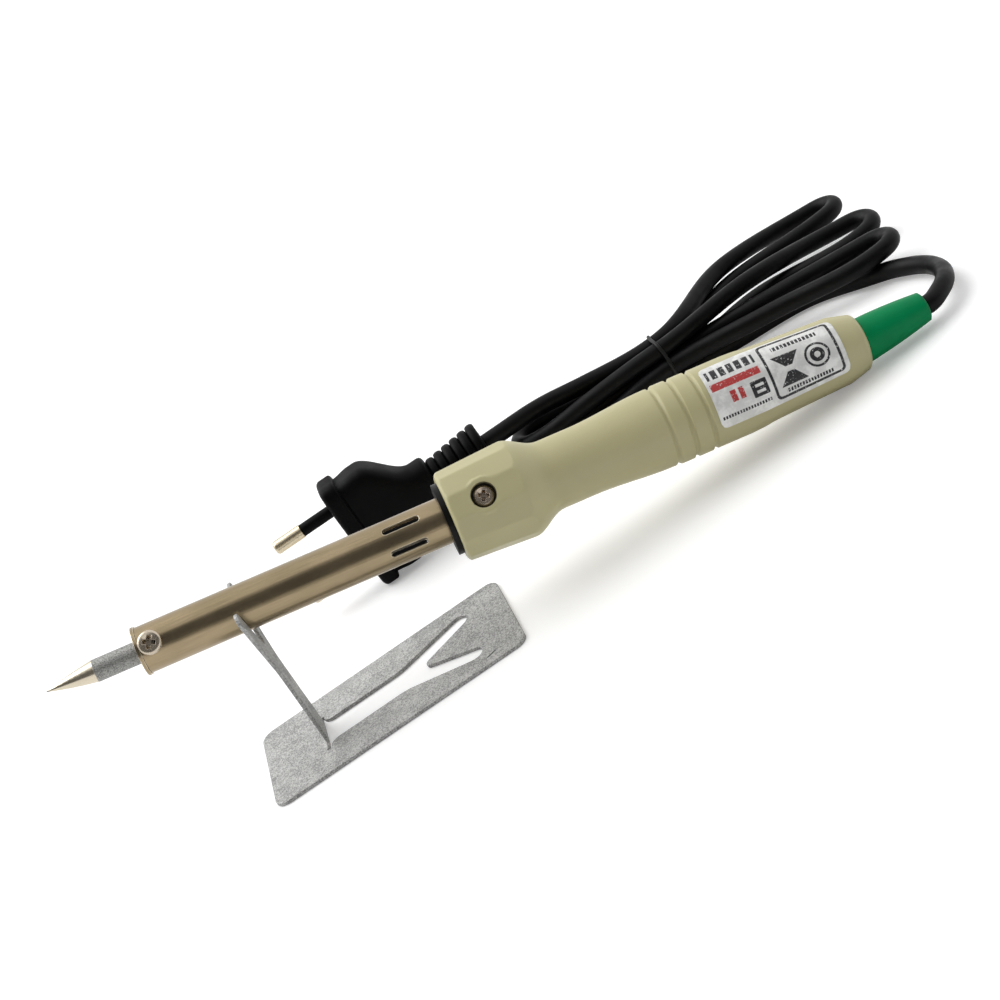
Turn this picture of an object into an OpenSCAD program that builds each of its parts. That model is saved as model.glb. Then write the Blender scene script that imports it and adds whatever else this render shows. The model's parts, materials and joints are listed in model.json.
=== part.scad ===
// Pencil soldering iron resting on its folded sheet-steel stand, with its cord tied in a
// hank and its two-pin plug standing on edge behind it. Millimetres.
// Origin: centre of the stand plate's underside, on the bench. +X runs along the plate
// towards the iron's handle, +Y runs across it towards the plug, +Z is up.

/* [Stand] */
// Length of the stand plate
plate_len = 74; // [70:1:86]
// Width of the stand plate
plate_w = 38; // [36:1:46]
// Corner radius of the stand plate
plate_corner_r = 3.5; // [2:0.5:5]
// Thickness of the steel sheet
sheet_t = 1; // [0.8:0.1:1.2]
// Distance from the plate's centre back to the bend line
bend_back = 19.5; // [18:0.5:21]
// Lean of the raised support towards the handle, in degrees
fork_lean = 2.8; // [1:0.2:5]
// Width of the support's stem
stem_w = 10; // [9:0.5:11]
// Half angle of the V notch that holds the barrel
notch_angle = 26.6; // [25.5:0.1:28]
// Gap between the support and its cut-out when it is folded flat
kerf = 0.35; // [0.2:0.05:0.5]

/* [Barrel and tip] */
// Outside diameter of the steel barrel
barrel_d = 11.9; // [11.6:0.1:12.2]
// Wall of the steel barrel
barrel_wall = 0.5; // [0.4:0.1:0.6]
// Diameter of the copper bit
bit_d = 5.7; // [5.4:0.1:5.9]
// Length of the bit's cone
cone_len = 13; // [9:0.5:16]
// Ventilation slots around the barrel
vent_count = 6; // [4:1:8]
// Width of a ventilation slot
vent_w = 1.8; // [1.2:0.1:2.2]

/* [Handle] */
// Distance across the flats at the rear of the handle's front block
block_flats = 24.7; // [24:0.1:25.4]
// Number of flats round the front block
flat_count = 12; // [8:2:14]
// Diameter of the handle's waist
waist_d = 18; // [17:0.5:19]
// Diameter of the handle's swell, where the label is
swell_d = 20.8; // [20:0.2:22]
// Number of grip grooves
groove_count = 3; // [2:1:3]

/* [Cord and plug] */
// Diameter of the cord
cord_d = 5; // [4.6:0.1:5]
// Width of the plug
plug_w = 34.6; // [34:0.2:36]
// Thickness of the plug
plug_t = 13.7; // [13:0.1:14.5]
// Distance between the plug's pins
pin_pitch = 18.6; // [18:0.1:19]
// Diameter of the plug's pins
pin_d = 4; // [3.9:0.1:4]
// Number of ribs on the plug's strain relief
rib_count = 6; // [4:1:7]

/* [Hidden] */
$fn = 64;

// Clearances: for a piece that turns or slides, and for a piece that is seated
run = 0.05;
seat = 0.03;

// Stand
bend_x = -bend_back;
bend_gap = 0.05;
root_half_w = stem_w / 2 + 3.2;
root_fillet_r = 3.2;
flare_start = 21.5;
flare_r = 12;
flare_angle = 21;
prong_tip_r = 2.25;
notch_r = 2;
notch_centre = 32.5;
barrel_gap = 0.25;
bead_w = 3.2;
bead_h = 0.35;
bead_len = plate_len - 16;
bead_offset = plate_w / 2 - 4.2;

// Stations along the iron, measured from the point of the tip
s_bit_end = 64;
s_bush = 24.6;
s_barrel = 25.5;
s_tip_screw = 28.5;
s_fork = 50.5;
s_vent = 90;
vent_len = 9.8;
s_collar = 105.5;
s_handle = 107;
s_handle_screw = 116.2;
s_block_end = 124.5;
s_barrel_end = 119.5;
s_spigot_end = 121;
s_waist = 134;
s_waist_end = 142;
s_groove = 164.5;
groove_pitch = 5;
s_swell = 176;
s_label = 176.5;
label_len = 35.5;
label_span = 96;
label_turn = 0;
s_taper = 189;
s_grip = 200;
s_rear_wall = 212;
s_rear = 219;
s_boot = s_rear + 0.7;
boot_len = 17.3;
boot_rise = 6;
tail_out = 2.5;
tail_gap = 0.3;

// Radii
barrel_r = barrel_d / 2;
screw_head_r = 3;
barrel_bore_r = barrel_r - barrel_wall;
bit_r = bit_d / 2;
block_r = block_flats / 2;
corner_r = block_r / cos(180 / flat_count);
waist_r = waist_d / 2;
swell_r = swell_d / 2;
rear_r = 7.75;
cavity_r = 6.6;
spigot_r = 7.8;
cord_r = cord_d / 2;
core_offset = 1.5;
core_r = 0.8;
block_front_r = block_r - 1;
flat_tilt = atan((block_r - block_front_r) / (s_block_end - s_handle));

// Where the iron lies: the barrel sits in the notch and the handle's rear edge on the bench
fork_reach = notch_centre + (barrel_r + barrel_gap - notch_r) / sin(notch_angle);
rest_x = bend_x + fork_reach * sin(fork_lean);
rest_z = sheet_t / 2 + fork_reach * cos(fork_lean);
rear_reach = s_rear - 1.2 - s_fork;
iron_slope = asin(rest_z / norm([rear_reach, rear_r])) - atan(rear_r / rear_reach);
iron_dir = [cos(iron_slope), 0, -sin(iron_slope)];
screw_side = -(90 + 33);
vent_turn = 37;

// The boot and the cord turn up a little where they leave the handle
boot_start = [rest_x, 0, rest_z] + (s_boot - s_fork) * iron_dir;
boot_dir = [cos(iron_slope - boot_rise), 0, -sin(iron_slope - boot_rise)];
cord_start = boot_start + (boot_len + tail_out + tail_gap) * boot_dir;

// Plug: its front face, its axis, and the end of its strain relief
plug_x = 9.2;
plug_y = 60.5;
plug_z = plug_w / 2;
lip_len = 5;
plug_neck = 28.6;
relief_len = 17;
relief_end = plug_neck + relief_len;
pin_len = 19;
pin_bare = 9;
s_pin_end = 12;
cord_in = 8;
pin_neck_r = 1.3;
sleeve_r = pin_d / 2 - 0.2;

// Hank: the strands are packed in a hexagon where the tie holds them
tie_x = 109;
tie_y = 58;
pack = 5.6;
row_h = pack * sin(60);
tie_t = 0.6;
tie_gap = 0.15;
tie_w = 1.4;
tie_z = tie_t + tie_gap + 0.05 + cord_r + row_h;
rest_h = cord_r + 0.1;
// Each strand in turn: [y, z] at its left end, its column and row in the tie,
// and [y, z] at its belly and at its right end
strands = [
    [[57, rest_h], [-0.5, -1], [54.6, rest_h], [50.5, rest_h]],
    [[46.5, rest_h], [-1, 0], [45, 8], [37, 8]],
    [[63, 5.4], [0, 0], [53.5, 8.3], [47.5, 8]],
    [[74, rest_h], [0.5, -1], [65, 5.5], [58.5, 5.8]],
    [[56, 10.8], [-0.5, 1], [61, 13], [69, 7]],
    [[67, 10.8], [1, 0], [80.2, 7.4], [81.2, 7.4]],
    [[62.6, 16.3], [0.5, 1], [83.2, 11.9], [91.6, 7.3]]
];
left_x = [67, 67, 62, 62, 69.5, 69.5, 73];
right_x = [152, 170, 170, 173, 173, 171, 171];
loop_out = 7;

// ---- outline helpers ----

// Points of an arc round a centre
function arc(c, r, a0, a1, n = 8) =
    [for (i = [0:n]) let (a = a0 + (a1 - a0) * i / n) c + r * [cos(a), sin(a)]];

// Points from p to q whose radius follows a smooth S, for a profile of [radius, station]
function blend(p, q, n = 8) =
    [for (i = [0:n]) [p.x + (q.x - p.x) * (1 - cos(180 * i / n)) / 2, p.y + (q.y - p.y) * i / n]];

// A list of points and its mirror image in the first axis, as one closed outline
function mirrored(half) =
    concat(half, [for (i = [len(half) - 1:-1:0]) [half[i].x, -half[i].y]]);

// Rounded rectangle, centred
function round_rect(l, w, r) = concat(
    arc([l / 2 - r, w / 2 - r], r, 0, 90),
    arc([-l / 2 + r, w / 2 - r], r, 90, 180),
    arc([-l / 2 + r, -w / 2 + r], r, 180, 270),
    arc([l / 2 - r, -w / 2 + r], r, 270, 360));

function unit(v) = v / norm(v);

// Corners of one ring of a swept tube
function ring(p, dir, up, r, sides) =
    let (a = unit(cross(up, dir)), b = cross(dir, a))
    [for (k = [0:sides - 1]) p + r * (cos(360 * k / sides) * a + sin(360 * k / sides) * b)];

// Direction of a smooth curve at way point i; the nearer neighbour counts more
function heading(way, i) =
    let (before = way[i] - way[max(i - 1, 0)], after = way[min(i + 1, len(way) - 1)] - way[i])
    norm(before) == 0 ? unit(after) :
    norm(after) == 0 ? unit(before) :
    (unit(before) * norm(after) + unit(after) * norm(before)) / (norm(before) + norm(after));

// Point at fraction t of the stretch from p to q, which starts along a and ends along b
function stretch(p, q, a, b, t) =
    let (reach = norm(q - p))
    p + (q - p) * (3 - 2 * t) * t * t
        + reach * a * t * (1 - t) * (1 - t) - reach * b * t * t * (1 - t);

// Smooth curve through way points, in steps of about the given length
function smooth_path(way, step) =
    concat(
        [for (i = [0:len(way) - 2])
            let (n = max(2, ceil(norm(way[i + 1] - way[i]) / step)))
            for (k = [0:n - 1])
                stretch(way[i], way[i + 1], heading(way, i), heading(way, i + 1), k / n)],
        [way[len(way) - 1]]);

// Round tube swept along a path
module sweep(path, r, sides, up = [0, 0, 1]) {
    last = len(path) - 1;
    rings = [for (i = [0:last])
        ring(path[i], unit(path[min(i + 1, last)] - path[max(i - 1, 0)]), up, r, sides)];
    points = [for (one = rings) each one];
    walls = [for (i = [0:last - 1], k = [0:sides - 1])
        [i * sides + k, (i + 1) * sides + k, (i + 1) * sides + (k + 1) % sides,
            i * sides + (k + 1) % sides]];
    near_cap = [for (k = [0:sides - 1]) k];
    far_cap = [for (k = [sides - 1:-1:0]) last * sides + k];
    polyhedron(points, concat([near_cap], walls, [far_cap]));
}

// Tube along +Z between two stations
module tube(outer_r, inner_r, s0, s1) {
    translate([0, 0, s0])
        difference() {
            cylinder(h = s1 - s0, r = outer_r);
            translate([0, 0, -1])
                cylinder(h = s1 - s0 + 2, r = inner_r);
        }
}

// Rod along +Z between two stations
module rod(r, s0, s1) {
    translate([0, 0, s0])
        cylinder(h = s1 - s0, r = r);
}

// Children at both sides of the iron's axis, where its two conductors run
module both_cores() {
    for (side = [-1, 1])
        translate([0, side * core_offset, 0])
            children();
}

// ---- places ----

// Iron frame: +Z runs along the iron from the point of the tip, +X faces the screws' side
module on_iron() {
    translate([rest_x, 0, rest_z] - s_fork * iron_dir)
        rotate([0, 90 + iron_slope, 0])
            rotate([0, 0, screw_side])
                children();
}

// Radial frame on the iron: +Z points out of the axis at station s, on the screws' side
module on_side(s) {
    translate([0, 0, s])
        rotate([0, 90, 0])
            children();
}

// Boot frame: +Z runs along the boot from where it turns up
module on_boot() {
    translate(boot_start)
        rotate([0, 90 + iron_slope - boot_rise, 0])
            children();
}

// Plug frame: +Z runs from the front face back along the plug, +X is up
module on_plug() {
    translate([plug_x, plug_y, plug_z])
        rotate([0, 90, 0])
            rotate([0, 0, 180])
                children();
}

// ---- stand ----

// Half outline of the support, grown by g: [distance from the bend, distance from the middle]
function fork_half(g) =
    let (ta = tan(notch_angle), tb = tan(flare_angle),
        flare_c = [flare_start, stem_w / 2 + flare_r],
        out = flare_c + flare_r * [sin(flare_angle), -cos(flare_angle)],
        apex = notch_centre - notch_r / sin(notch_angle),
        tip_u = (out.y - out.x * tb + apex * ta
            - prong_tip_r * (1 / cos(flare_angle) + 1 / cos(notch_angle))) / (ta - tb),
        tip_c = [tip_u, (tip_u - apex) * ta + prong_tip_r / cos(notch_angle)])
    concat(
        arc([root_fillet_r, root_half_w], root_fillet_r - g, 180, 270),
        arc(flare_c, flare_r - g, 270, 270 + flare_angle),
        arc(tip_c, prong_tip_r + g, 90 + flare_angle, notch_angle - 90, 12),
        arc([notch_centre, 0], notch_r - g, 90 + notch_angle, 180, 6));

// The opening in the plate: the support's outline and a slit where its foot turns
module cut_out() {
    slit = sheet_t + 2 * bend_gap;
    polygon(mirrored(fork_half(kerf)));
    square([slit, 2 * (root_half_w + kerf)], center = true);
}

// Shallow pressed rib that stiffens the plate beside the cut-out
module bead() {
    r = (bead_w * bead_w / 4 + bead_h * bead_h) / (2 * bead_h);
    intersection() {
        translate([-bead_len / 2, 0, sheet_t + bead_h - r])
            rotate([0, 90, 0])
                cylinder(h = bead_len, r = r);
        translate([-bead_len, -bead_w, sheet_t / 2])
            cube([2 * bead_len, 2 * bead_w, sheet_t]);
    }
}

module stand_plate() {
    color("silver") {
        difference() {
            linear_extrude(sheet_t)
                polygon(round_rect(plate_len, plate_w, plate_corner_r));
            translate([bend_x, 0, -1])
                linear_extrude(sheet_t + 2)
                    cut_out();
        }
        for (side = [-1, 1])
            translate([0, side * bead_offset, 0])
                bead();
    }
}

// Raised support: its foot is rounded about the bend line
module support_fork() {
    color("silver")
        translate([bend_x, 0, sheet_t / 2])
            rotate([0, fork_lean - 90, 0]) {
                translate([0, 0, -sheet_t / 2])
                    linear_extrude(sheet_t)
                        polygon(mirrored(fork_half(0)));
                rotate([90, 0, 0])
                    cylinder(h = 2 * root_half_w, r = sheet_t / 2, center = true);
            }
}

// ---- tip, barrel and heater ----

// Bit: a slightly bulged cone on a round shank
module tip() {
    bulge = 0.25;
    cone = [for (i = [1:8]) let (t = i / 8) [bit_r * t + bulge * sin(180 * t), cone_len * t]];
    color("wheat")
        on_iron()
            rotate_extrude()
                polygon(concat([[0, 0]], cone, [[bit_r, s_bit_end], [0, s_bit_end]]));
}

// Pan head with a cross recess; +Z is out of the head, z = 0 is its seat
module pan_head(r, h) {
    recess = 0.7;
    difference() {
        rotate_extrude()
            polygon(concat([[0, 0], [r, 0]], arc([r - h * 0.7, h * 0.3], h * 0.7, 0, 90), [[0, h]]));
        for (turn = [0, 90])
            rotate([0, 0, turn])
                translate([-r * 0.65, -recess / 2, h * 0.45])
                    cube([r * 1.3, recess, h]);
    }
}

// Grub-length screw that clamps the bit; its point stops just short of the bit
module tip_screw() {
    shank_end = bit_r + 0.1;
    color("gainsboro")
        on_iron()
            on_side(s_tip_screw) {
                translate([0, 0, barrel_r + run])
                    pan_head(screw_head_r, 2.1);
                rod(1.5, shank_end, barrel_r + run + 0.1);
            }
}

// Steel bush that closes the barrel's front and guides the bit
module front_bush() {
    color("darkkhaki")
        on_iron()
            difference() {
                union() {
                    rod(6.3, s_bush, s_barrel - seat);
                    rod(barrel_bore_r - seat, s_barrel - 1, s_barrel + 9);
                }
                rod(bit_r + run, s_bush - 1, s_barrel + 10);
                on_side(s_tip_screw) {
                    rod(1.5 + run, 0, 10);
                    rod(screw_head_r + run, barrel_r, 10);
                }
            }
}

// One rounded ventilation slot, cut outwards from the axis
module vent_slot() {
    for (s = [s_vent + vent_w / 2, s_vent + vent_len - vent_w / 2])
        on_side(s)
            rod(vent_w / 2, 2, 10);
    translate([2, -vent_w / 2, s_vent + vent_w / 2])
        cube([8, vent_w, vent_len - vent_w]);
}

module barrel() {
    color("tan")
        on_iron()
            difference() {
                tube(barrel_r, barrel_bore_r, s_barrel, s_barrel_end);
                on_side(s_tip_screw)
                    rod(1.7, 2, 10);
                for (i = [0:vent_count - 1])
                    rotate([0, 0, vent_turn + 360 * i / vent_count])
                        vent_slot();
            }
}

// Layers of the heater, from the bit outwards
heater_r = [bit_r + 0.1, 3.35, 3.4, 3.6, 4.2, 4.5, 4.55, 4.8];

module heater_tube() {
    color("slategray")
        on_iron()
            tube(heater_r[1], heater_r[0], 37, 80);
}

module inner_mica() {
    color("khaki")
        on_iron()
            tube(heater_r[3], heater_r[2], 38, 79);
}

// Resistance wire wound over the inner mica
module heater_winding() {
    turns = 17;
    pitch = 2;
    steps = 14;
    wire_r = 0.2;
    coil_r = heater_r[4] - wire_r - 0.05;
    path = [for (i = [0:turns * steps])
        [coil_r * cos(360 * i / steps), coil_r * sin(360 * i / steps), 42 + pitch * i / steps]];
    color("dimgray")
        on_iron()
            sweep(path, wire_r, 6);
}

module outer_mica() {
    color("khaki")
        on_iron()
            tube(heater_r[5], heater_r[4], 38, 79);
}

module heater_can() {
    color("slategray")
        on_iron()
            tube(heater_r[7], heater_r[6], 36.5, 80.5);
}

// Two-hole ceramic bush that carries the heater's leads
module ceramic_bush() {
    color("ivory")
        on_iron()
            difference() {
                rod(barrel_bore_r - seat, 82, 87);
                both_cores()
                    rod(1, 81, 88);
            }
}

module lead_wires() {
    color("lightgray")
        on_iron()
            both_cores()
                rod(0.45, 81, 140);
}

module lead_sleeves() {
    color("linen")
        on_iron()
            both_cores()
                tube(0.95, 0.5, 81.5, 134);
}

// ---- handle ----

// Heat-resisting collar between the barrel and the handle
module collar() {
    color("#1c1c1c")
        on_iron()
            difference() {
                union() {
                    rod(9.3, s_collar, s_handle - seat);
                    rod(spigot_r, s_handle - 1, s_spigot_end);
                }
                rod(barrel_r + seat, s_collar - 1, s_barrel_end + seat);
                rod(cavity_r - 2, s_barrel_end - 1, s_spigot_end + 1);
                on_side(s_handle_screw)
                    rod(1.43, barrel_r, 9);
            }
}

// Outer profile of the handle as [radius, station], from front to rear
function handle_profile() =
    let (groove_w = 1.3, groove_depth = 0.5, land = swell_r - 0.1)
    concat(
        [[block_front_r - 0.9, s_handle], [block_front_r - 0.2, s_handle + 0.25],
            [block_front_r + 0.7, s_handle + 1.1], [corner_r, s_handle + 2.6]],
        blend([corner_r, s_block_end], [waist_r, s_waist], 10),
        blend([waist_r, s_waist_end], [land, s_groove - groove_w / 2], 10),
        [for (i = [0:groove_count - 1])
            each arc([land + groove_w / 2 - groove_depth, s_groove + groove_pitch * i],
                groove_w / 2, 270, 90, 6)],
        [[swell_r, s_swell], [swell_r, s_swell + 4]],
        blend([swell_r, s_taper - 4], [swell_r - 0.7, s_taper + 5], 3),
        [[8.9, s_rear - 6.5]],
        arc([rear_r - 2, s_rear - 2], 2, 30, 90, 5));

module handle() {
    color("#b9b491")
        on_iron()
            difference() {
                rotate_extrude($fn = 96)
                    polygon(concat([[0, s_handle]], handle_profile(), [[0, s_rear]]));
                for (i = [0:flat_count - 1])
                    rotate([0, 0, 360 * i / flat_count])
                        translate([block_front_r, 0, s_handle])
                            rotate([0, flat_tilt, 0])
                                translate([0, -10, -3])
                                    cube([8, 20, 3 + s_block_end - s_handle + 1.5]);
                rod(spigot_r + seat, s_handle - 1, s_spigot_end + 0.1);
                rod(cavity_r, s_spigot_end, s_rear_wall);
                rod(4.6, s_rear_wall - 1, s_rear + 1);
                on_side(s_handle_screw) {
                    rod(3.15, 9.4, 16);
                    rod(1.6, 6, 10);
                }
            }
}

module handle_screw() {
    color("gold")
        on_iron()
            on_side(s_handle_screw) {
                translate([0, 0, 9.4 + seat])
                    pan_head(2.6, 1.6);
                rod(1.4, barrel_r + 0.1, 9.6);
            }
}

// Radius of the handle under the label, at station s
function label_r(s) = swell_r - max(0, s - s_taper) * (swell_r - 8.9) / (s_rear - 6.5 - s_taper);

// Thin metal foil label wrapped round the swell
module label_plate() {
    lift = 0.12;
    foil_t = 0.15;
    inner = [for (i = [0:6]) let (s = s_label + label_len * i / 6) [label_r(s) + lift, s]];
    outer = [for (i = [6:-1:0]) inner[i] + [foil_t, 0]];
    color("whitesmoke")
        on_iron()
            rotate([0, 0, label_turn - label_span / 2])
                rotate_extrude(angle = label_span, $fn = 96)
                    polygon(concat(inner, outer));
}

// Crimped splices that join the heater's leads to the cord's cores
module splices() {
    color("lightgray")
        on_iron()
            both_cores()
                difference() {
                    rod(1.4, 136, 149);
                    rod(0.5, 135, 141);
                    rod(0.85, 144, 150);
                }
}

module cord_cores() {
    color("saddlebrown")
        on_iron()
            both_cores()
                rod(core_r, 144.5, s_grip - 2.05);
}

// Moulded grip that holds the cord inside the handle
module cord_grip() {
    color("#1c1c1c")
        on_iron()
            difference() {
                union() {
                    for (s = [s_grip, s_grip + 5])
                        rod(cavity_r - seat, s, s + 2);
                    rod(4.6, s_grip + 1, s_grip + 6);
                }
                rod(cord_r + seat, s_grip - 1, s_grip + 8);
            }
}

// Soft sleeve that keeps the cord from kinking where it leaves the handle
module cord_boot() {
    neck_r = 4.6 - seat;
    base_r = 5.8;
    end_r = 3.8;
    end_round = 0.8;
    color("seagreen")
        difference() {
            union() {
                on_iron() {
                    rod(6.3, s_rear_wall - 2.5, s_rear_wall - seat);
                    rod(neck_r, s_rear_wall - 1, s_boot);
                    rod(base_r + 0.1, s_rear + seat, s_boot + 0.7);
                }
                on_boot()
                    rotate_extrude()
                        polygon(concat([[0, 0], [base_r, 0]],
                            arc([end_r - end_round, boot_len - end_round], end_round, 10, 90, 4),
                            [[0, boot_len]]));
            }
            on_iron()
                rod(cord_r + 0.1, s_rear_wall - 3, s_boot + 0.3);
            on_boot()
                rod(cord_r + seat, -0.3, boot_len + 1);
        }
}

// First stretch of the cord, which moves with the iron
module cord_tail() {
    inner_end = [rest_x, 0, rest_z] + (s_grip - 2 - s_fork) * iron_dir;
    color("#161616")
        sweep([inner_end, boot_start, boot_start + (boot_len + tail_out) * boot_dir], cord_r, 24);
}

// ---- cord hank ----

// A strand's points from left to right
function strand_points(i) =
    let (left = strands[i][0], tie = [tie_y, tie_z], slot = strands[i][1],
        mid = [tie_y + pack * slot.x, tie_z + row_h * slot.y],
        belly = strands[i][2], right = strands[i][3])
    [[left_x[i], left.x, left.y],
        [left_x[i] + 14, (left.x + mid.x) / 2, (left.y + mid.y) / 2],
        for (x = [-4, 0]) [tie_x + x, mid.x, mid.y],
        [(tie_x + right_x[i]) / 2, belly.x, belly.y],
        [right_x[i], right.x, right.y]];

function backwards(list) = [for (i = [len(list) - 1:-1:0]) list[i]];

// Points round the end of a loop, from strand i to strand i + 1; side is 1 at the right
function turn_points(i, side) =
    let (x = side > 0 ? right_x[i] : left_x[i], end = side > 0 ? 3 : 0,
        mid = (strands[i][end] + strands[i + 1][end]) / 2,
        half = (strands[i][end] - strands[i + 1][end]) / 2)
    [for (t = [30:30:150]) let (p = mid + half * cos(t)) [x + side * loop_out * sin(t), p.x, p.y]];

// The cord runs round from the boot, up and down the hank, and into the plug
function hank_path() =
    let (out = [[172.9, 3.6, 4.9], [176.8, 11.5, 4.6], [177.8, 21.5, 4], [173.5, 31.5, 3.2],
        [164, 41.5, rest_h]])
    concat([cord_start, cord_start + 1.5 * boot_dir], out,
        [for (i = [0:6]) each concat(
            i % 2 == 0 ? backwards(strand_points(i)) : strand_points(i),
            i < 6 ? turn_points(i, i % 2 == 0 ? -1 : 1) : [])],
        [for (x = [4, 1, -cord_in]) [plug_x + relief_end + x, plug_y, plug_z]]);

module cord_hank() {
    color("#161616")
        sweep(smooth_path(hank_path(), 3.5), cord_r, 14);
}

// Outline round the six outer strands, at distance r from their centres
function bundle_outline(r) =
    [for (i = [0:5]) each arc(pack * [cos(60 * i), sin(60 * i)], r, 60 * i - 30, 60 * i + 30, 4)];

module cord_tie() {
    color("#202020")
        translate([tie_x - tie_w / 2, tie_y, tie_z])
            rotate([90, 0, 90])
                linear_extrude(tie_w)
                    difference() {
                        polygon(bundle_outline(cord_r + tie_gap + tie_t));
                        polygon(bundle_outline(cord_r + tie_gap));
                    }
}

// ---- plug ----

// Half outline of the plug's wide face: [distance from the front face, half width]
function plug_half() =
    let (lip_r = 1.6, half = plug_w / 2, waist = half - 1.1)
    concat(
        [[0, 0]],
        arc([lip_r, half - lip_r], lip_r, 180, 90, 5),
        arc([lip_len - lip_r / 2, half - lip_r / 2], lip_r / 2, 90, 0, 4),
        [[lip_len + 0.4, waist - 0.6], [lip_len + 5, waist]],
        [for (p = blend([waist, lip_len + 7], [7.4, plug_neck - 4], 10)) [p.y, p.x]],
        [[plug_neck, 6.9], [plug_neck, 0]]);

// Half outline of the plug's narrow side
function plug_side_half() =
    concat([[0, 0]], arc([1.2, plug_t / 2 - 1.2], 1.2, 180, 90, 5),
        [[lip_len + 8, plug_t / 2], [plug_neck, plug_t / 2 - 0.9], [plug_neck, 0]]);

// Ribbed strain relief: each rib is a little bigger than the one before it
function relief_profile() =
    let (pitch = relief_len / rib_count, core_r = 4.9, rib_r = pitch * 0.4)
    concat([[0, plug_neck - 1], [core_r, plug_neck - 1]],
        [for (i = [0:rib_count - 1])
            let (big = 5.6 + 0.3 * i, s = plug_neck + pitch * (i + 0.5))
            each concat([[core_r, s - rib_r]], arc([big - rib_r, s], rib_r, -90, 90, 6),
                [[core_r, s + rib_r]])],
        [[core_r - 0.4, relief_end], [0, relief_end]]);

module plug_body() {
    color("#161616")
        on_plug()
            difference() {
                union() {
                    intersection() {
                        rotate([90, -90, 0])
                            linear_extrude(plug_t + 2, center = true)
                                polygon(mirrored(plug_half()));
                        rotate([0, -90, 0])
                            linear_extrude(plug_w + 2, center = true)
                                polygon(mirrored(plug_side_half()));
                    }
                    rotate_extrude()
                        polygon(relief_profile());
                }
                rod(cord_r + 0.1, relief_end - cord_in - 0.5, relief_end + 1);
                both_pins()
                    rod(sleeve_r + seat, -1, 6);
                translate([-pin_pitch / 2 - 3.5, -3.6, 6 - seat])
                    cube([pin_pitch + 7, 7.2, 7]);
                core_ways(0.05);
            }
}

module both_pins() {
    for (side = [-1, 1])
        translate([side * pin_pitch / 2, 0, 0])
            children();
}

// The ways of the two cores, grown by g: straight, spread out to a pin, and straight again
module core_ways(g) {
    spread = pin_pitch / 2 - core_offset;
    run_out = 10;
    s_spread = 16;
    for (side = [0, 1])
        mirror([side, 0, 0]) {
            translate([core_offset, 0, 0])
                rod(core_r + g, s_spread + run_out - 0.6, relief_end - cord_in - 0.05 + g);
            translate([pin_pitch / 2, 0, s_spread])
                rotate([0, -atan(spread / run_out), 0])
                    rod(core_r - 0.1 + g, 0, norm([spread, run_out]));
            translate([pin_pitch / 2, 0, 0])
                rod(core_r + g, s_pin_end + 0.05 - g, s_spread + 0.6);
        }
}

// Rigid bridge inside the moulding that holds the two pins apart
module plug_bridge() {
    color("ivory")
        on_plug()
            difference() {
                translate([-pin_pitch / 2 - 3.4, -3.5, 6])
                    cube([pin_pitch + 6.8, 7, 3.5]);
                both_pins()
                    rod(pin_neck_r + seat, 5, 10);
            }
}

// Brass contact pins: a bare end, a neck under the sleeve, and a tail in the bridge
module plug_pins() {
    end_r = 0.9;
    color("darkkhaki")
        on_plug()
            both_pins()
                rotate_extrude()
                    polygon(concat([[0, -pin_len]],
                        arc([pin_d / 2 - end_r, end_r - pin_len], end_r, -90, 0, 5),
                        [[pin_d / 2, pin_bare - pin_len], [pin_neck_r, pin_bare - pin_len],
                            [pin_neck_r, s_pin_end], [0, s_pin_end]]));
}

// Insulating sleeves on the inner half of the pins
module pin_sleeves() {
    color("#161616")
        on_plug()
            both_pins()
                tube(sleeve_r, pin_neck_r + seat, pin_bare - pin_len + seat, 5.9);
}

// The cord's cores inside the plug, spread out to the pins
module plug_cores() {
    color("saddlebrown")
        on_plug()
            core_ways(0);
}

stand_plate();
support_fork();
tip();
tip_screw();
front_bush();
barrel();
heater_tube();
inner_mica();
heater_winding();
outer_mica();
heater_can();
ceramic_bush();
lead_wires();
lead_sleeves();
collar();
handle();
handle_screw();
label_plate();
splices();
cord_cores();
cord_grip();
cord_boot();
cord_tail();
cord_hank();
cord_tie();
plug_body();
plug_bridge();
plug_pins();
pin_sleeves();
plug_cores();
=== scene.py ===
"""Looks of a pencil soldering iron on its folding stand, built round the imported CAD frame."""

import json
import math

import bmesh
import bpy
import numpy as np
from mathutils import Matrix, Vector
from mathutils.bvhtree import BVHTree
from mathutils.geometry import delaunay_2d_cdt


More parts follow.
